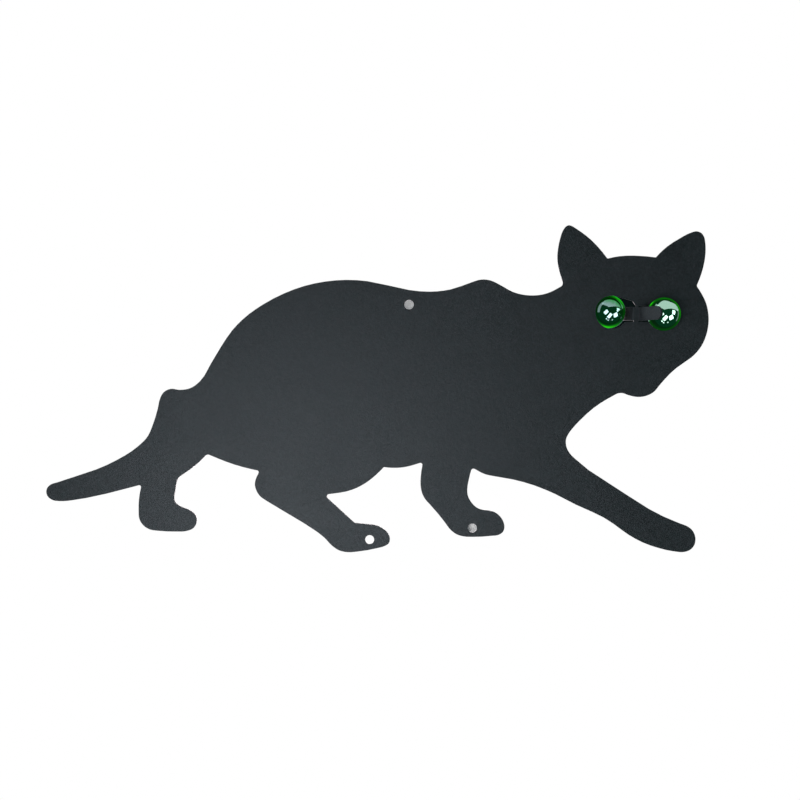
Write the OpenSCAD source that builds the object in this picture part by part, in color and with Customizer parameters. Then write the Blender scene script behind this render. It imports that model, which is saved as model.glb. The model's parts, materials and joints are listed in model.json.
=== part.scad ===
// Prowling cat cut from one flat steel sheet, with a glass marble in each eye.
// Two tongues of the same sheet are bent out between the eyes. The right one
// leans over the front of its marble, the left one over the back of its marble,
// and each presses its marble against the rim of the round eye opening. The right
// marble sits square in its rim, and the left one is pushed a little off centre.
//
// Frame: the sheet stands in the XZ plane, centred on Y = 0. Its front faces -Y,
// the cat walks towards +X, +Z is up, and the origin is the centre of the
// hanging hole. Left and right are as seen from the front.

/* [Sheet] */
// Length of the cat from the tip of its tail to its cheek
cat_length = 318; // [316:1:380]
// Thickness of the coated steel sheet
sheet_t = 1; // [0.8:0.1:1.2]
// Inside radius of the bend at the root of each tongue
bend_r = 0.5; // [0.4:0.1:0.8]

/* [Holes] */
// Diameter of the hanging hole in the back
hanging_hole_d = 4.5; // [3:0.1:6]
// Diameter of the fixing hole in each standing foot
foot_hole_d = 4.3; // [3:0.1:6]

/* [Eyes] */
// Diameter of each glass marble
marble_d = 16; // [15.5:0.1:16.3]
// How much smaller than its marble each round eye opening is
rim_bite = 0.2; // [0.1:0.1:0.6]
// How far the left marble sits off the centre of its opening
left_push = 1; // [0:0.1:1.2]
// Gap left between a marble and the metal that holds it, so that it can turn
running_gap = 0.02; // [0.02:0.01:0.05]
// Width of each tongue
tongue_w = 6.5; // [5:0.1:7]
// Length of each tongue from the end of its bend to its tip
tongue_l = 14.8; // [13.5:0.1:16]

/* [Hidden] */

// Largest turn between two neighbouring facets of a cut edge, in degrees
facet_turn = 5;
// Number of facets round each bend
bend_steps = 12;
$fn = 96;

coat_black = [0.17, 0.19, 0.20];
left_glass = [0.10, 0.55, 0.22];
right_glass = [0.12, 0.50, 0.25];

// ---- Cat outline ----
// The outline runs clockwise as a ring of strokes. Each stroke begins at the
// corner it is named for and lists the points that its curve passes through,
// at the drawn size, as [x, z]. The next stroke's corner closes it.

drawn_length = 318;

// Under the tail, round its tip, up the haunch and along the back to the neck
tail_root = [
    [-128.2, -86.25], [-135, -88.05], [-145, -90.65], [-155, -92.8], [-162, -93.9],
    [-167.5, -94.25], [-171.3, -93.6], [-173.5, -91.7], [-174.05, -89.9], [-173.6, -87.95],
    [-171.6, -86.1], [-169, -85.3], [-160, -82.35], [-150, -79], [-140, -74.4],
    [-130, -67.9], [-125.3, -63], [-123.1, -58], [-120.6, -50], [-119.5, -45.1],
    [-117.9, -42.2], [-114.5, -40.4], [-110, -40.85], [-105, -40.05], [-100.2, -36.6],
    [-95, -28.15], [-90, -19.8], [-85, -12.5], [-80, -7.2], [-70, 0.15], [-60, 5.4],
    [-50, 9.05], [-40, 11.15], [-30, 11.9], [-20, 11.3], [-10, 9.25], [0, 7.05],
    [10, 6.25], [20, 7.35], [30, 10.75], [33.2, 11.8], [36, 12.1], [39.2, 11.6],
    [43.5, 9.6], [50, 6.05], [58, 4.45], [66, 5.4],
    [70.5, 7.4]
];
// Up the outside of the left ear, round its tip and down to the brow
neck = [
    [74.25, 9.65], [72.4, 15.2], [71.35, 20], [71.2, 23.5], [71.55, 27], [72.6, 32],
    [74.3, 36.3], [75.4, 37.6], [76.8, 38.1], [78.2, 37.7], [80.3, 36.4], [85, 33.1],
    [90, 28.45]
];
// Across the top of the head between the ears
left_brow = [[95.15, 22.1], [101, 23.25], [108, 23.55], [114, 23.2]];
// Up the inside of the right ear, round its tip and down to the cheek
right_brow = [
    [118.45, 22.65], [124, 28], [130, 31.9], [135.5, 34.65], [137.9, 35.2],
    [140.2, 34.4], [141.6, 32.4], [142.1, 30], [142.3, 26.5], [141.65, 20.3], [140.3, 15]
];
// Down the cheek, along jaw, chin and throat, then round the lifted foreleg
cheek = [
    [137.9, 9], [140.6, 4.85], [142.75, 0], [143.6, -4.5], [143.75, -7.5],
    [143.5, -10.5], [142.45, -15], [140.15, -20.05], [138, -22.85], [135.3, -25.45],
    [132.5, -27.4], [128.65, -30.1], [125.1, -33.2], [120, -38.85], [117.6, -41.7],
    [114.5, -43.5], [110.2, -44.3], [105, -43.3], [102.6, -42.45], [101.3, -42.4],
    [99.9, -42.7], [97.4, -44], [95, -45.3], [88.5, -49.6], [82.5, -55], [78, -59.85],
    [76.35, -62.2], [75.35, -64.5], [75.25, -66.6], [75.75, -68.9], [78, -72.35],
    [81.15, -75.15], [86, -79.25], [95, -85.1], [105, -91.6], [115, -97.95],
    [122, -101.6], [130, -104.95], [133.2, -106.15], [135.6, -107.9], [137.05, -110.4],
    [137.4, -113], [136.7, -115.6], [135, -117.5], [132.2, -118.6], [127, -118.35],
    [120, -116.85], [112, -114.05], [105, -110.2], [98, -105.1], [93.5, -102.2],
    [88, -99.5], [80, -95.95], [70, -90.8], [60, -86.7], [50, -83.9], [40, -82.15],
    [36.5, -81.35], [33.2, -79.8]
];
// Down the standing foreleg, round its foot and up to the belly
elbow = [
    [30.3, -77.95], [28.5, -84.7], [27.95, -88.3], [28.2, -91.5], [29.9, -94.8],
    [32.6, -97.4], [35.5, -98.45], [38.5, -98.8], [41.2, -99.6], [43.6, -101.5],
    [45.2, -104], [45.75, -106.6], [45.1, -108.9], [43.4, -110.25], [39, -110.95],
    [31, -111.4], [26, -111.15], [23, -110.25], [20.3, -108.4], [17, -104.2],
    [14, -100.4], [10, -95.85], [7.6, -93.1], [6.1, -90], [5.5, -86.5], [5.6, -82.5]
];
// Back along the belly
belly = [[6.8, -75.3], [2.5, -76.8], [-2.5, -78], [-7.5, -78.3]];
// Under the far thigh to the hock
flank = [[-12.1, -77.9], [-15.9, -81.7], [-20, -85], [-25, -87.85], [-30, -89.6], [-35, -90.45]];
// Straight down the shin of the hind leg
hock = [[-41, -91.05]];
// Round the hind foot, back along its sole and up to the near thigh
instep = [
    [-26.1, -104.65], [-20, -105.25], [-16, -105.75], [-13, -107.1], [-10.45, -109.2],
    [-9.25, -111.9], [-9.7, -114.4], [-11.6, -115.75], [-15.5, -116.85], [-20, -117.8],
    [-25, -118.5], [-29.5, -118.75], [-33.5, -117.9], [-37, -115.6], [-40.5, -111.9],
    [-44.1, -109], [-50, -105.1], [-60, -99.15], [-68.5, -94.05], [-71.6, -91.75],
    [-73.4, -88.8], [-74, -86.1], [-73.4, -83.3]
];
// Along the underside of the near thigh
thigh = [[-71.35, -79.75], [-80, -77.85], [-88, -75.25], [-93, -73.25]];
// Down the rear leg, round its foot and up the heel to the tail
groin = [
    [-97, -71.5], [-100, -74.85], [-105, -79], [-108.5, -81.45], [-110.3, -82.7],
    [-111.4, -84.7], [-112, -88.5], [-112.6, -92.9], [-112.1, -94.8], [-110.2, -96.4],
    [-104.9, -98.75], [-103.05, -100.15], [-101.9, -102.3], [-102.1, -105], [-103.7, -107.35],
    [-106.4, -108.5], [-112, -108.85], [-120, -108.5], [-124.3, -107.85], [-127.4, -105.95],
    [-129.35, -102.9], [-129.75, -98.5], [-129.6, -93.5]
];

strokes = [tail_root, neck, left_brow, right_brow, cheek, elbow, belly, flank, hock, instep,
           thigh, groin];
// Radius that each stroke's own corner is rounded to
corner_r = [0.9, 2, 0.6, 0.8, 1.4, 1.2, 0.9, 0.6, 1.1, 1.5, 0.9, 1.9];

// ---- Places of the holes and eyes at the drawn size, as [x, z] ----
drawn_hind_foot_hole = [-18.9, -112.7];
drawn_fore_foot_hole = [30.35, -107.15];
drawn_left_eye = [97.3, -3.6];
drawn_right_eye = [122.05, -4.6];
drawn_left_root = [108.1, -4.45];
drawn_right_root = [110.15, -4.45];

// The left bend line leans this far from upright, with its top towards the right eye
left_root_lean = 8;
// The left marble is pushed this way from the centre of its opening, up from +X
left_push_angle = 150;
// Height of the cut that frees each tongue, measured along its bend line
root_cut = 7.8;
// How far that cut runs past the bend line, into the strip between the eyes
cut_past_bend = 0.15;
// Length of flat strip behind the bend line that is drawn as part of the tongue
root_lap = 0.5;
// The left opening runs on above its tongue to this corner, from the left root, as [x, z]
left_relief = [-0.9, 6.2];
// Depth that the tapering sides of an opening cut into its circle
taper_tuck = 0.02;

// ---- Derived sizes ----
draw_scale = cat_length / drawn_length;
left_eye = draw_scale * drawn_left_eye;
right_eye = draw_scale * drawn_right_eye;
left_root = draw_scale * drawn_left_root;
right_root = draw_scale * drawn_right_root;

marble_r = marble_d / 2;
eye_r = marble_r - rim_bite / 2;
held_r = marble_r + running_gap;
left_marble_xz = left_eye + left_push * [cos(left_push_angle), sin(left_push_angle)];
mid_bend_r = bend_r + sheet_t / 2;
outer_bend_r = bend_r + sheet_t;
// No part of a bend or its lap lies further than this from the start of the blade
bend_reach = 2 * outer_bend_r + root_lap;

// Distance of a marble's centre from the middle of the sheet when it sits on the
// rim, with its centre pushed off that of the opening
function seat_depth(push) = sheet_t / 2 + sqrt(pow(held_r, 2) - pow(eye_r - push, 2));

left_depth = seat_depth(left_push);
right_depth = seat_depth(0);

// Angle that a tongue is bent through so that its outer face just meets its marble
function tongue_slope(reach, depth) =
    let (rise = mid_bend_r - depth)
    asin((outer_bend_r + held_r) / norm([reach, rise])) - atan2(rise, reach);

left_slope = tongue_slope(left_root.x - left_marble_xz.x, left_depth);
right_slope = tongue_slope(right_eye.x - right_root.x, right_depth);

// ---- Curve through points ----
function unit(v) = v / norm(v);
function turn(a, b) = atan2(a.x * b.y - a.y * b.x, a * b);
function swung(v, a) = [v.x * cos(a) - v.y * sin(a), v.x * sin(a) + v.y * cos(a)];
function flipped(v, chord) = 2 * (v * unit(chord)) * unit(chord) - v;

// Direction at a point: that of the circle through the point and its two neighbours.
// An end point takes its direction from the circle that ends the stroke.
function heading(p, i) =
    let (last = len(p) - 1)
    last == 1 ? unit(p[1] - p[0])
    : i == 0 ? flipped(heading(p, 1), p[1] - p[0])
    : i == last ? flipped(heading(p, last - 1), p[last] - p[last - 1])
    : let (a = p[i] - p[i - 1], b = p[i + 1] - p[i])
      unit(unit(a) * norm(b) + unit(b) * norm(a));

function cubic(a, b, c, d, t) =
    let (s = 1 - t)
    s * s * s * a + 3 * s * s * t * b + 3 * s * t * t * c + t * t * t * d;

// Facet corners from point a up to but not including b, on a curve that leaves a
// along ha and arrives at b along hb. It is a circle's arc where one fits.
function span(a, b, ha, hb) =
    let (
        chord = b - a,
        bow = abs(turn(ha, chord)) + abs(turn(chord, hb)),
        pull = norm(chord) / (3 * pow(cos(bow / 4), 2)),
        steps = max(1, ceil(bow / facet_turn))
    )
    [for (k = [0 : steps - 1]) cubic(a, a + pull * ha, b - pull * hb, b, k / steps)];

// A stroke's own points, closed by the corner of the stroke after it
function closed_stroke(i) = [each strokes[i], strokes[(i + 1) % len(strokes)][0]];

function arriving(i) =
    let (p = closed_stroke((i + len(strokes) - 1) % len(strokes)))
    heading(p, len(p) - 1);

function leaving(i) = heading(closed_stroke(i), 0);

// Length that the rounding of corner i takes off each stroke it joins
function setback(i) = corner_r[i] * tan(abs(turn(arriving(i), leaving(i))) / 2);

function corner_arc(i) =
    let (
        swing = turn(arriving(i), leaving(i)),
        start = strokes[i][0] - setback(i) * arriving(i),
        spoke = sign(swing) * corner_r[i] * swung(arriving(i), 90),
        steps = ceil(abs(swing) / facet_turn)
    )
    [for (k = [0 : steps]) start + spoke - swung(spoke, swing * k / steps)];

// The stroke's facet corners that lie between its two rounded corners
function stroke_body(i) =
    let (
        p = closed_stroke(i),
        after = (i + 1) % len(strokes),
        all_points = [
            for (k = [0 : len(p) - 2]) each span(p[k], p[k + 1], heading(p, k), heading(p, k + 1))
        ]
    )
    [
        for (q = all_points)
            if (norm(q - p[0]) > setback(i) && norm(q - p[len(p) - 1]) > setback(after)) q
    ];

cat_outline = draw_scale * [
    for (i = [0 : len(strokes) - 1]) each concat(corner_arc(i), stroke_body(i))
];

// ---- Eye openings ----
// Where a line from point q all but touches the eye circle, on the side given by
// +1 or -1. The point lies just inside the circle, so that the line crosses it.
function touch_point(eye, q, side) =
    let (
        d = q - eye,
        inner_r = eye_r - taper_tuck,
        a = atan2(d.y, d.x) + side * acos(inner_r / norm(d))
    )
    eye + inner_r * [cos(a), sin(a)];

// End of a cut beside a tongue: h above the middle of its root, and past a bend
// line that leans by the given angle. The tongue points along +X or -X, by side.
function cut_end(root, side, lean, h) =
    root + h * [sin(lean), cos(lean)] - side * cut_past_bend * [cos(lean), -sin(lean)];

// Round opening with a slot that runs in to the root of its tongue
module right_opening() {
    top = cut_end(right_root, 1, 0, root_cut / 2);
    translate(right_eye) circle(r = eye_r);
    translate([top.x, top.y - root_cut]) square([right_eye.x - top.x, root_cut]);
}

// The left slot opens out above its tongue, up to the relief corner
module left_opening() {
    top = cut_end(left_root, -1, left_root_lean, root_cut / 2);
    bottom = cut_end(left_root, -1, left_root_lean, -root_cut / 2);
    relief = left_root + left_relief;
    translate(left_eye) circle(r = eye_r);
    polygon([
        touch_point(left_eye, relief, 1), relief, top, bottom, [left_eye.x, bottom.y]
    ]);
}

// ---- Tongues ----
// One face of a strip that runs along +X and bends towards -Y at the origin. The
// face lies h outside the middle of the strip, and is drawn in the XY plane.
function bent_face(slope, h) =
    let (r = mid_bend_r + h)
    [
        [-root_lap, h],
        for (k = [0 : bend_steps])
            let (a = slope * k / bend_steps) [r * sin(a), r * cos(a) - mid_bend_r],
        [r * sin(slope) + tongue_l * cos(slope),
         r * cos(slope) - mid_bend_r - tongue_l * sin(slope)]
    ];

function reversed(list) = [for (k = [len(list) - 1 : -1 : 0]) list[k]];

// Plan of a tongue as seen square to its straight part, which starts at the origin
module tongue_plan() {
    straight = tongue_l - tongue_w / 2;
    translate([-bend_reach, -tongue_w / 2]) square([bend_reach + straight, tongue_w]);
    translate([straight, 0]) circle(d = tongue_w);
}

// A strip wider than the tongue is bent first, then trimmed to the tongue's plan
module tongue(slope) {
    intersection() {
        linear_extrude(2 * tongue_w, center = true)
            polygon(concat(
                bent_face(slope, sheet_t / 2),
                reversed(bent_face(slope, -sheet_t / 2))
            ));
        translate([0, -mid_bend_r, 0])
            rotate([0, 0, -slope])
                translate([0, mid_bend_r, 0])
                    rotate([90, 0, 0])
                        linear_extrude(2 * bend_reach, center = true) tongue_plan();
    }
}

// ---- Pieces ----
module cat_plate() {
    color(coat_black) {
        rotate([90, 0, 0])
            linear_extrude(sheet_t, center = true)
                difference() {
                    polygon(cat_outline);
                    circle(d = hanging_hole_d);
                    translate(draw_scale * drawn_hind_foot_hole) circle(d = foot_hole_d);
                    translate(draw_scale * drawn_fore_foot_hole) circle(d = foot_hole_d);
                    left_opening();
                    right_opening();
                }
        translate([right_root.x, 0, right_root.y]) tongue(right_slope);
        translate([left_root.x, 0, left_root.y])
            rotate([0, left_root_lean, 0])
                rotate([0, 0, 180]) tongue(left_slope);
    }
}

// The left marble rests on the back rim of its opening
module left_eye_marble() {
    color(left_glass)
        translate([left_marble_xz.x, left_depth, left_marble_xz.y]) sphere(r = marble_r);
}

// The right marble sits on the front rim of its opening
module right_eye_marble() {
    color(right_glass) translate([right_eye.x, -right_depth, right_eye.y]) sphere(r = marble_r);
}

cat_plate();
left_eye_marble();
right_eye_marble();
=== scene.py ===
"""Looks of the prowling cat: powder-coated sheet steel with two lustre-glass marbles for eyes.

The cat stands upright in the XZ plane and faces the camera along -Y. Everything is placed from the
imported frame: the boxes of the CAD nodes give the sheet and the marbles, and the lights stand round them.
"""

import json
import math

import bmesh
import bpy
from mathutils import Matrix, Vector, geometry, noise


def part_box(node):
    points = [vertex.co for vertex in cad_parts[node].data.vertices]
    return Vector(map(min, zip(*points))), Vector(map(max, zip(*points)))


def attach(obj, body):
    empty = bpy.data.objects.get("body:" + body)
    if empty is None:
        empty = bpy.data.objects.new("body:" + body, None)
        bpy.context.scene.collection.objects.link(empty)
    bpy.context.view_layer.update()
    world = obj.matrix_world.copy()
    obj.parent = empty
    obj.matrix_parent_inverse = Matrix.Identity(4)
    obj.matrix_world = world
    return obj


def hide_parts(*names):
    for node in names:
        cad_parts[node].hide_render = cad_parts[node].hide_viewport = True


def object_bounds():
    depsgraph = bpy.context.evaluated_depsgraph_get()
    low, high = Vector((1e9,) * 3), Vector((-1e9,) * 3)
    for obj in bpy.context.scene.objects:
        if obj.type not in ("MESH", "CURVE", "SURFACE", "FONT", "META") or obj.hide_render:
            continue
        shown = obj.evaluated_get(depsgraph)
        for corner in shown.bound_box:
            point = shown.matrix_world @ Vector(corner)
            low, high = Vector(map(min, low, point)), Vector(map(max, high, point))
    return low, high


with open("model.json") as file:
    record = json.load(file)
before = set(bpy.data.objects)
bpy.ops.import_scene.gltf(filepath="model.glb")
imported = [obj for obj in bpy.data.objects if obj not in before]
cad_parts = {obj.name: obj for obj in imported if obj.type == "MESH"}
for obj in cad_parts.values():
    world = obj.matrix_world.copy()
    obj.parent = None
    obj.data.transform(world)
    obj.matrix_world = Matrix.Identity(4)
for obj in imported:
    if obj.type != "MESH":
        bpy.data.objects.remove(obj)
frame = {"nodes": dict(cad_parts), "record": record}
cad_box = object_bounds()

SCENE = bpy.context.scene
SHEET_BACK_Y = frame["record"]["mounts"][0]["dims"]["length_mm"] / 2000

# ---- Camera, from the whole cat's box ----
CAMERA_DISTANCE = 0.72
CAMERA_VIEW_WIDTH = 0.384
CAMERA_AIM_OFFSET = Vector((0.0108, 0, -0.0054))
CAMERA_SEES_FROM = 0.01
SENSOR_WIDTH_MM = 36

# ---- Studio lights, by where they stand as seen from the eyes ----
# Each row is azimuth to the right of the camera, elevation, width, height and roll, all in degrees,
# then brightness. They show in the marbles and shine through the holes onto the table.
LIGHT_DISTANCE = 1.3
LIGHT_PANELS = {
    "softbox_left": (-26, -5, 31, 22, 40, 3.8),
    "softbox_low": (1, -31, 36, 21, 53, 3.8),
    "softbox_low_right": (46, -23, 27, 27, 35, 3.8),
    "softbox_right": (62, 8, 21, 22, -18, 3.8),
    "lamp_low_left": (-30, -52, 8, 9, 0, 3.0),
    "lamp_low": (-14, -64, 8, 8, 0, 2.5),
    "lamp_low_far_right": (38, -58, 8, 8, 0, 1.6),
    "left_wall": (-86, 27, 32, 60, 0, 0.6),
    "right_wall": (106, -4, 14, 44, 0, 0.3),
    "back_left": (167, 10, 22, 36, 12, 0.9),
    "back_right": (-169, -12, 24, 30, -10, 0.9),
}

# ---- The ceiling light: a level panel over the eyes, measured in its own height above them ----
CEILING_HEIGHT = 0.7
CEILING_CENTRE = (1.7, 0.1)
CEILING_SIZE = (5.2, 1.75)
CEILING_TURN = 27
CEILING_BRIGHTNESS = 0.9

# ---- Lights that fall on the plate alone ----
# A near, broad one on each face makes the coat paler towards the tail. Each row is place, size, power
# and colour.
BROAD_LIGHTS = {
    "broad_front": ((-0.07, -0.19, -0.12), 0.2, 1.4, (1.0, 0.74, 0.79)),
    "broad_back": ((-0.03, 0.20, -0.08), 0.2, 1.6, (1.0, 0.86, 0.90)),
}
# A far strip stands almost level with the sheet, so that it lights the front tongue and little else.
# Its row is laid out as in LIGHT_PANELS.
STRIP_PANEL = (-91, 4, 14, 40, 0, 26.0)
STRIP_COLOUR = (1.0, 0.88, 0.94)

# ---- The room round the cat ----
# The marbles see it dim. The coat sees it bright behind the cat, fading to dark in front: the first pair
# is how far backwards a direction points, and the second is the light that comes from there.
ROOM_COLOUR = (0.2, 0.85, 0.8)
ROOM_BRIGHTNESS = 0.025
BACKWARD_RANGE = (-0.05, 0.5)
BACKWARD_LIGHT = (0.03, 0.9)

# ---- The table behind the cat ----
# Only three round spots of it are not plain white: real light and shade show through two of the holes, and a
# painted shadow, a flat dark colour, lies behind the eyes. The hind foot rests so close to the table that
# its hole is filled with white.
REAR_FOOT_BEFORE_X = -0.1
TABLE_GAP = 0.0001
TABLE_WHITENESS = 1.5
TABLE_SEEN_WITHIN = 35
SHADED_HOLES = ("hanging_hole", "fore_foot_hole")
HOLE_SPOT_RADIUS = 0.0036
# Painted shadow: within this radius behind the eyes the table is a flat dark glow, in place of the head's
# shade
PAINTED_EYE_SHADOW_RADIUS = 0.0175
PAINTED_EYE_SHADOW_COLOUR = (0.003, 0.006, 0.006)

# ---- Powder coat: noise scales are in waves a metre ----
GRAIN_SCALE = 2600
PEEL_SCALE = 900
CAST_SCALE = 520
CLOUD_SCALE = 45
COAT_RELIEF = 0.0001
CLOUD_IN_TONE = 0.35
COAT_TONES = (0.7, 1.3)
COAT_CASTS = ((0.0040, 0.0070, 0.0078), (0.0060, 0.0068, 0.0080))
COAT_ROUGHNESSES = (0.47, 0.57)
COAT_GLOSS = 0.12
COAT_GLOSS_TINT = (0.68, 1.0, 1.0)
# Painted reflection: how the coat looks in the marbles, a fixed nearly black glow, not the lit coat
PAINTED_COAT_REFLECTION = (0.004, 0.006, 0.006)

# ---- Plate edges ----
WELD_DISTANCE = 0.000002
EDGE_ROUNDING = 0.00008
EDGE_MIN_ANGLE = 40

# ---- Lustre glass ----
# The tints of each marble's lustre, thinner towards thin_side from thin_from of a radius, and where a
# painted glow along its edge stands in for light caught inside: each lobe is an angle from the right,
# anticlockwise, then its sharpness and its strength, and glow is the strength of the painted glow all round.
LUSTRES = {
    "left": {
        "seed": 2.3,
        "thick": (0.40, 0.60, 0.60),
        "thin": (0.03, 0.42, 0.08),
        "thin_side": (0.30, -0.05, 0.95),
        "thin_from": 0.30,
        "glow": 0.06,
        "lobes": ((245, 2.8, 1.8), (50, 8, 1.5)),
    },
    "right": {
        "seed": 7.1,
        "thick": (0.64, 1.0, 0.82),
        "thin": (0.30, 0.75, 0.40),
        "thin_side": (0.55, 0.80, 0.25),
        "thin_from": 0.2,
        "glow": 0.08,
        "lobes": ((20, 4, 0.65), (141, 60, 3.2), (95, 6, 0.25)),
    },
}
THIN_FADE = 0.5
SWIRL_SCALE = 110
SWIRL_SHARE = 1.2
GLASS_COLOUR = (0.01, 0.75, 0.02)
GLASS_IOR = 1.5
MIRROR_ROUGHNESS = 0.02
MIRROR_SHARE = 0.6
MIRROR_SHARE_IN_GLOW = 0.1
FULL_GLOW = 0.5
# Painted light: emission shown to the camera alone, a green glow along each ball's edge in place of light
# caught inside the glass
PAINTED_GLOW_COLOUR = (0.012, 0.42, 0.002)
# Painted light: a dim green glow in the body, in place of light seen through the glass
PAINTED_BODY_GLOW = (0.0, 0.030, 0.002)
# The painted glow's ring: how far the glass turns away from the eye, then how bright it is there
GLOW_RING = ((0.38, 0.0), (0.50, 0.25), (0.60, 1.0), (0.78, 1.0), (0.90, 0.25))
# Each ball is very slightly out of round
RIPPLE_DEPTH = 0.00002
RIPPLE_WAVES = 1.7


# ---- Small helpers ----
def link(obj):
    SCENE.collection.objects.link(obj)
    return obj


def direction(azimuth, elevation):
    """Unit vector away from the cat, towards the camera's side; azimuth is to the camera's right."""
    a, e = math.radians(azimuth), math.radians(elevation)
    return Vector((math.sin(a) * math.cos(e), -math.cos(a) * math.cos(e), math.sin(e)))


def middle_of(node):
    return sum(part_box(node), Vector()) / 2


class Nodes:
    """A short way to build a node tree. Values are numbers, or outputs of nodes made before."""

    def __init__(self, tree):
        self.tree = tree
        self.tree.nodes.clear()

    def add(self, kind, inputs=None, **settings):
        made = self.tree.nodes.new(kind)
        for name, value in settings.items():
            setattr(made, name, value)
        for name, value in (inputs or {}).items():
            self.join(value, made.inputs[name])
        return made

    def join(self, value, socket):
        if isinstance(value, bpy.types.NodeSocket):
            self.tree.links.new(value, socket)
        else:
            socket.default_value = value

    def place(self):
        """The point's place in metres."""
        return self.add("ShaderNodeTexCoord").outputs["Object"]

    def ray(self, kind):
        """1 for light paths of that kind, else 0."""
        return self.add("ShaderNodeLightPath").outputs[kind]

    def calc(self, operation, *values):
        return self.add("ShaderNodeMath", dict(enumerate(values)), operation=operation).outputs[0]

    def vector(self, operation, first, second):
        """The result is a number for a dot product or a distance, and a vector otherwise."""
        made = self.add("ShaderNodeVectorMath", {0: first, 1: second}, operation=operation)
        return made.outputs["Value" if operation in ("DOT_PRODUCT", "DISTANCE") else "Vector"]

    def spread(self, value, source, target=(0, 1), **settings):
        """Carries a value from the source range to the target range, and holds it there."""
        return self.add("ShaderNodeMapRange", {
            "Value": value,
            "From Min": source[0], "From Max": source[1],
            "To Min": target[0], "To Max": target[1],
        }, **settings).outputs["Result"]

    def speckle(self, where, scale, detail, roughness=0.5):
        return self.add("ShaderNodeTexNoise", {
            "Vector": where, "Scale": scale, "Detail": detail, "Roughness": roughness,
        }).outputs

    def blend(self, share, first, second):
        """Mixes two colours."""
        inputs = {0: share, 6: (*first, 1), 7: (*second, 1)}
        return self.add("ShaderNodeMix", inputs, data_type="RGBA").outputs[2]

    def emission(self, colour, strength=1):
        return self.add("ShaderNodeEmission", {"Color": (*colour, 1), "Strength": strength}).outputs[0]

    def background(self, colour, strength=1):
        return self.add("ShaderNodeBackground", {"Color": (*colour, 1), "Strength": strength}).outputs[0]

    def both(self, first, second):
        """Adds two shaders."""
        return self.add("ShaderNodeAddShader", {0: first, 1: second}).outputs[0]

    def mix(self, share, first, second):
        """Mixes two shaders."""
        return self.add("ShaderNodeMixShader", {0: share, 1: first, 2: second}).outputs[0]


def new_material(name):
    material = bpy.data.materials.new(name)
    material.use_nodes = True
    return material, Nodes(material.node_tree)


def set_material(obj, material):
    obj.data.materials.clear()
    obj.data.materials.append(material)


# ---- Cat plate ----
def powder_coat():
    """Black satin powder coat: a fine orange peel, specks in its tone, and a faint dusty cloud.
    In the marbles' mirror it is a painted reflection: a fixed glow, nearly black, in place of the lit coat."""
    material, n = new_material("powder_coat")
    where = n.place()
    grain = n.speckle(where, GRAIN_SCALE, 2, 0.6)["Fac"]
    peel = n.speckle(where, PEEL_SCALE, 2)["Fac"]
    cloud = n.speckle(where, CLOUD_SCALE, 5, 0.6)["Fac"]
    bump = n.add("ShaderNodeBump", {"Height": n.calc("ADD", grain, peel), "Distance": COAT_RELIEF})
    speck = n.add("ShaderNodeMix", {0: CLOUD_IN_TONE, 2: peel, 3: cloud}).outputs[0]
    tone = n.spread(speck, (0.35, 0.65), COAT_TONES)
    cast = n.blend(n.speckle(where, CAST_SCALE, 1)["Color"], *COAT_CASTS)
    coat = n.add("ShaderNodeBsdfPrincipled", {
        "Base Color": n.add("ShaderNodeVectorMath", {0: cast, 3: tone}, operation="SCALE").outputs[0],
        "Roughness": n.spread(cloud, (0.3, 0.7), COAT_ROUGHNESSES),
        "Specular IOR Level": COAT_GLOSS,
        "Specular Tint": (*COAT_GLOSS_TINT, 1),
        "Normal": bump.outputs["Normal"],
    }).outputs["BSDF"]
    # Painted reflection: glossy rays see a fixed, nearly black glow in place of the lit coat
    face = n.mix(n.ray("Is Glossy Ray"), coat, n.emission(PAINTED_COAT_REFLECTION))
    n.add("ShaderNodeOutputMaterial", {"Surface": face})
    return material


def dress_plate():
    plate = frame["nodes"]["cat_plate"]
    set_material(plate, powder_coat())
    weld = plate.modifiers.new("weld", "WELD")
    weld.merge_threshold = WELD_DISTANCE
    edge = plate.modifiers.new("soft_cut_edge", "BEVEL")
    edge.width = EDGE_ROUNDING
    edge.segments = 2
    edge.limit_method = "ANGLE"
    edge.angle_limit = math.radians(EDGE_MIN_ANGLE)
    edge.use_clamp_overlap = False
    edge.harden_normals = True
    return plate


# ---- Marbles ----
def painted_edge_glow(n, lustre):
    """How strongly the painted glow shows, which stands in for light caught inside the glass: a thin ring
    near the edge, in lobes.
    """
    facing = n.add("ShaderNodeLayerWeight", {"Blend": 0.5}).outputs["Facing"]
    ring = n.add("ShaderNodeValToRGB", {"Fac": facing})
    steps = ring.color_ramp.elements
    steps[0].position = GLOW_RING[0][0]
    steps[1].position = GLOW_RING[-1][0]
    for place, brightness in GLOW_RING[1:-1]:
        steps.new(place)
    for step, (place, brightness) in zip(steps, GLOW_RING):
        step.color = (brightness, brightness, brightness, 1)
    normal = n.add("ShaderNodeNewGeometry").outputs["Normal"]
    total = lustre["glow"]
    for angle, sharpness, strength in lustre["lobes"]:
        a = math.radians(angle)
        along = n.vector("DOT_PRODUCT", normal, (math.cos(a), 0, math.sin(a)))
        lobe = n.calc("POWER", n.calc("MAXIMUM", along, 0), sharpness)
        total = n.calc("MULTIPLY_ADD", lobe, strength, total)
    return n.calc("MULTIPLY", ring.outputs["Color"], total)


def lustre_tint(n, lustre, swirl, centre, radius):
    """The colour that the lustre mirrors with: its thick tint, fading to its thin one at the thin side."""
    from_centre = n.vector("SUBTRACT", n.place(), centre)
    sideways = n.vector("DOT_PRODUCT", from_centre, Vector(lustre["thin_side"]).normalized() / radius)
    thinning = n.calc("MULTIPLY_ADD", swirl, SWIRL_SHARE, sideways)
    start = lustre["thin_from"] + SWIRL_SHARE / 2
    thin = n.spread(thinning, (start, start + THIN_FADE), interpolation_type="SMOOTHSTEP")
    return n.blend(thin, lustre["thick"], lustre["thin"])


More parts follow.
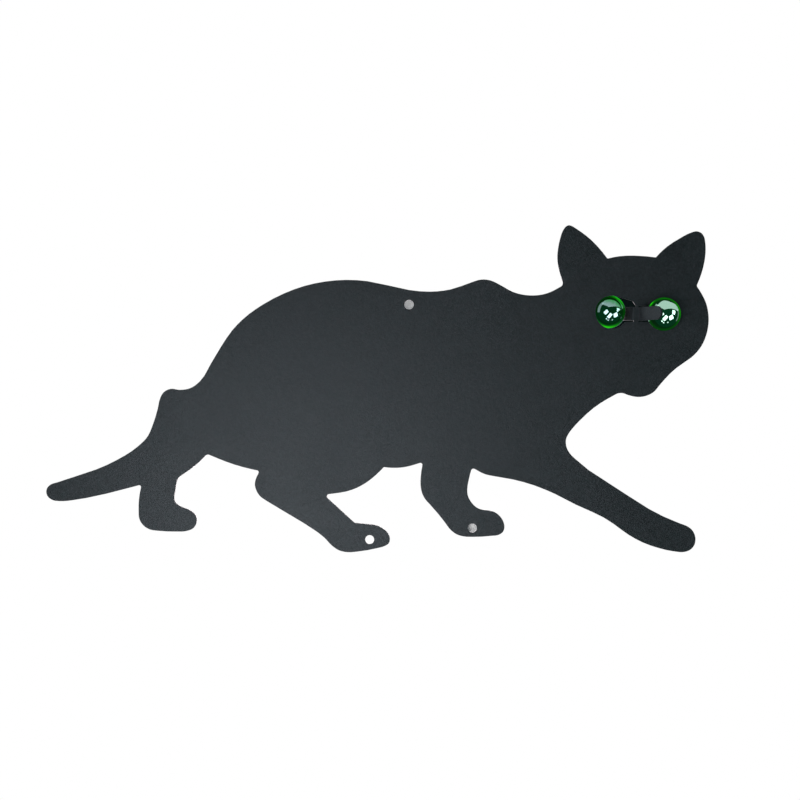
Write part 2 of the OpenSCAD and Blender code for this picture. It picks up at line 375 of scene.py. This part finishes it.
def lustre_glass(name, lustre, centre, radius):
    """Green glass under a lustre that mirrors the room. Its painted glow, emission along the edge and in the
    body, shows to the camera alone.
    """
    material, n = new_material(name)
    swirl = n.add("ShaderNodeTexNoise", {
        "Vector": n.place(), "W": lustre["seed"],
        "Scale": SWIRL_SCALE, "Detail": 3, "Roughness": 0.55, "Distortion": 0.6,
    }, noise_dimensions="4D").outputs["Fac"]
    tint = lustre_tint(n, lustre, swirl, centre, radius)
    glass = n.add("ShaderNodeBsdfGlass", {"Color": (*GLASS_COLOUR, 1), "IOR": GLASS_IOR, "Roughness": 0})
    mirror = n.add("ShaderNodeBsdfGlossy", {"Color": tint, "Roughness": MIRROR_ROUGHNESS})
    strength = painted_edge_glow(n, lustre)
    share = n.spread(strength, (0, FULL_GLOW), (MIRROR_SHARE, MIRROR_SHARE_IN_GLOW))
    skin = n.mix(share, glass.outputs[0], mirror.outputs[0])
    # Painted light: emission for the glow along the edge and a dim glow in the body
    inside = n.both(n.emission(PAINTED_GLOW_COLOUR, strength), n.emission(PAINTED_BODY_GLOW, swirl))
    face = n.mix(n.ray("Is Camera Ray"), skin, n.both(skin, inside))
    n.add("ShaderNodeOutputMaterial", {"Surface": face})
    return material


def marble(side):
    """A finely meshed glass ball in place of a CAD marble."""
    cad_node = side + "_eye_marble"
    low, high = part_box(cad_node)
    centre = (low + high) / 2
    radius = (high.x - low.x) / 2
    mesh = bpy.data.meshes.new(side + "_marble_ball")
    shape = bmesh.new()
    bmesh.ops.create_icosphere(shape, subdivisions=6, radius=1)
    for v in shape.verts:
        ripple = noise.noise(v.co * RIPPLE_WAVES + Vector((LUSTRES[side]["seed"], 0, 0)))
        v.co = centre + v.co * (radius - RIPPLE_DEPTH * (1 + ripple))
    for face in shape.faces:
        face.smooth = True
    shape.to_mesh(mesh)
    shape.free()
    ball = link(bpy.data.objects.new(side + "_marble_ball", mesh))
    set_material(ball, lustre_glass(side + "_lustre_glass", LUSTRES[side], centre, radius))
    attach(ball, side + "_marble")
    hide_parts(cad_node)


# ---- Table ----
def table_surface(hole_spots, eye_shadow_spot, normal):
    """Pure white, but real light and shade where the holes look through, and a painted shadow, a flat dark
    glow, under the head.
    Seen from the side or from below, the table is clear, so that it never hides the cat."""
    material, n = new_material("white_table")
    where = n.place()

    def inside(spot, radius):
        return n.calc("LESS_THAN", n.vector("DISTANCE", where, spot), radius)

    paper = n.add("ShaderNodeBsdfDiffuse", {"Color": (TABLE_WHITENESS,) * 3 + (1,)}).outputs[0]
    face = n.emission((1, 1, 1))
    for spot in hole_spots:
        face = n.mix(inside(spot, HOLE_SPOT_RADIUS), face, paper)
    # Painted shadow behind the eyes: a flat dark glow in place of the head's shade
    face = n.mix(inside(eye_shadow_spot, PAINTED_EYE_SHADOW_RADIUS), face, n.emission(PAINTED_EYE_SHADOW_COLOUR))
    clear = n.add("ShaderNodeBsdfTransparent").outputs[0]
    towards_eye = n.add("ShaderNodeNewGeometry").outputs["Incoming"]
    facing = n.vector("DOT_PRODUCT", towards_eye, normal)
    seen = n.calc("GREATER_THAN", facing, math.cos(math.radians(TABLE_SEEN_WITHIN)))
    n.add("ShaderNodeOutputMaterial", {"Surface": n.mix(seen, clear, face)})
    return material


def table_plane(plate):
    """A point and the normal of the table, which touches the tail tip, the rear foot and the back tongue."""
    points = [v.co for v in plate.data.vertices]
    tongue_tip = max(points, key=lambda p: p.y).copy()
    tail_tip = min(points, key=lambda p: p.x).copy()
    rear_foot = min((p for p in points if p.x < REAR_FOOT_BEFORE_X), key=lambda p: p.z).copy()
    tail_tip.y = rear_foot.y = SHEET_BACK_Y
    normal = (tail_tip - tongue_tip).cross(rear_foot - tongue_tip).normalized()
    if normal.y > 0:
        normal.negate()
    return (tongue_tip + tail_tip + rear_foot) / 3 - normal * TABLE_GAP, normal


def table(plate, eye_point, seen_from):
    """The white table that the cat lies on, with its spots where the camera sees the holes, and its painted
    shadow where it sees the eyes.
    """
    middle, normal = table_plane(plate)
    right = Vector((1, 0, 0)).cross(normal).cross(normal).normalized()
    up = normal.cross(right).normalized()
    mesh = bpy.data.meshes.new("white_table")
    corners = [middle + right * x + up * y for x, y in ((-1, -1), (1, -1), (1, 1), (-1, 1))]
    mesh.from_pydata(corners, [], [(0, 1, 2, 3)])
    mesh.update()
    if mesh.polygons[0].normal.y > 0:
        mesh.flip_normals()
    top = link(bpy.data.objects.new("white_table", mesh))

    def spot_behind(place):
        return geometry.intersect_line_plane(seen_from, place, middle, normal)

    mounts = frame["record"]["mounts"]
    hole_spots = [spot_behind(Vector(mount["pos_m"])) for mount in mounts if mount["name"] in SHADED_HOLES]
    set_material(top, table_surface(hole_spots, spot_behind(eye_point), normal))
    top.visible_diffuse = False
    top.visible_glossy = False
    top.visible_transmission = False
    top.visible_shadow = False


# ---- Lights, world and camera ----
def area_light(name, place, target, width, height, power, roll=0):
    light = bpy.data.lights.new(name, "AREA")
    light.shape = "RECTANGLE"
    light.size = width
    light.size_y = height
    light.energy = power
    obj = link(bpy.data.objects.new(name, light))
    obj.location = place
    obj.rotation_euler = (place - target).to_track_quat("Z", "Y").to_euler()
    obj.rotation_euler.rotate_axis("Z", math.radians(roll))
    obj.visible_camera = False
    obj.visible_transmission = False
    return obj


def light_panel(name, target, azimuth, elevation, width, height, roll, brightness):
    """A panel whose width and height are the degrees that it spans as seen from the target."""
    across = 2 * LIGHT_DISTANCE * math.tan(math.radians(width / 2))
    tall = 2 * LIGHT_DISTANCE * math.tan(math.radians(height / 2))
    place = target + direction(azimuth, elevation) * LIGHT_DISTANCE
    power = brightness * math.pi * across * tall
    return area_light(name, place, target, across, tall, power, roll)


def ceiling_light(target):
    long_side, short_side = (side * CEILING_HEIGHT for side in CEILING_SIZE)
    place = target + Vector((*CEILING_CENTRE, 1)) * CEILING_HEIGHT
    power = CEILING_BRIGHTNESS * math.pi * long_side * short_side
    below = place - Vector((0, 0, 1))
    obj = area_light("ceiling", place, below, long_side, short_side, power)
    obj.rotation_euler = (0, 0, math.radians(CEILING_TURN))


def coat_lights(target, plate):
    """The broad lights and the strip, which fall on the plate alone."""
    lights = []
    for name, (place, size, power, colour) in BROAD_LIGHTS.items():
        broad = area_light(name, Vector(place), target, size, size, power)
        broad.data.color = colour
        lights.append(broad)
    strip = light_panel("tongue_strip", target, *STRIP_PANEL)
    strip.data.color = STRIP_COLOUR
    lights.append(strip)
    coated = bpy.data.collections.new("coated")
    coated.objects.link(plate)
    for light in lights:
        light.light_linking.receiver_collection = coated


def studio_world():
    """White as the camera sees it, a dim room as the marbles see it, and soft light on the cat's back."""
    world = bpy.data.worlds.new("studio")
    SCENE.world = world
    world.use_nodes = True
    n = Nodes(world.node_tree)
    looking = n.add("ShaderNodeTexCoord").outputs["Generated"]
    split = n.add("ShaderNodeSeparateXYZ", {"Vector": looking})
    soft = n.background((1, 1, 1), n.spread(split.outputs["Y"], BACKWARD_RANGE, BACKWARD_LIGHT))
    room = n.mix(n.ray("Is Diffuse Ray"), n.background(ROOM_COLOUR, ROOM_BRIGHTNESS), soft)
    sky = n.mix(n.ray("Is Camera Ray"), room, n.background((1, 1, 1)))
    n.add("ShaderNodeOutputWorld", {"Surface": sky})


def camera(low, high):
    data = bpy.data.cameras.new("camera")
    data.sensor_width = SENSOR_WIDTH_MM
    data.lens = SENSOR_WIDTH_MM * CAMERA_DISTANCE / CAMERA_VIEW_WIDTH
    data.clip_start = CAMERA_SEES_FROM
    obj = link(bpy.data.objects.new("camera", data))
    aim = (low + high) / 2 + CAMERA_AIM_OFFSET
    obj.location = (aim.x, -CAMERA_DISTANCE, aim.z)
    obj.rotation_euler = (math.radians(90), 0, 0)
    SCENE.camera = obj
    return obj


# ---- Build ----
plate = dress_plate()
for side in LUSTRES:
    marble(side)
eye_point = (middle_of("left_eye_marble") + middle_of("right_eye_marble")) / 2
for name, row in LIGHT_PANELS.items():
    light_panel(name, eye_point, *row)
ceiling_light(eye_point)
coat_lights(sum(cad_box, Vector()) / 2, plate)
studio_world()
view = camera(*cad_box)
table(plate, eye_point, view.location)
SCENE.view_settings.view_transform = "Standard"
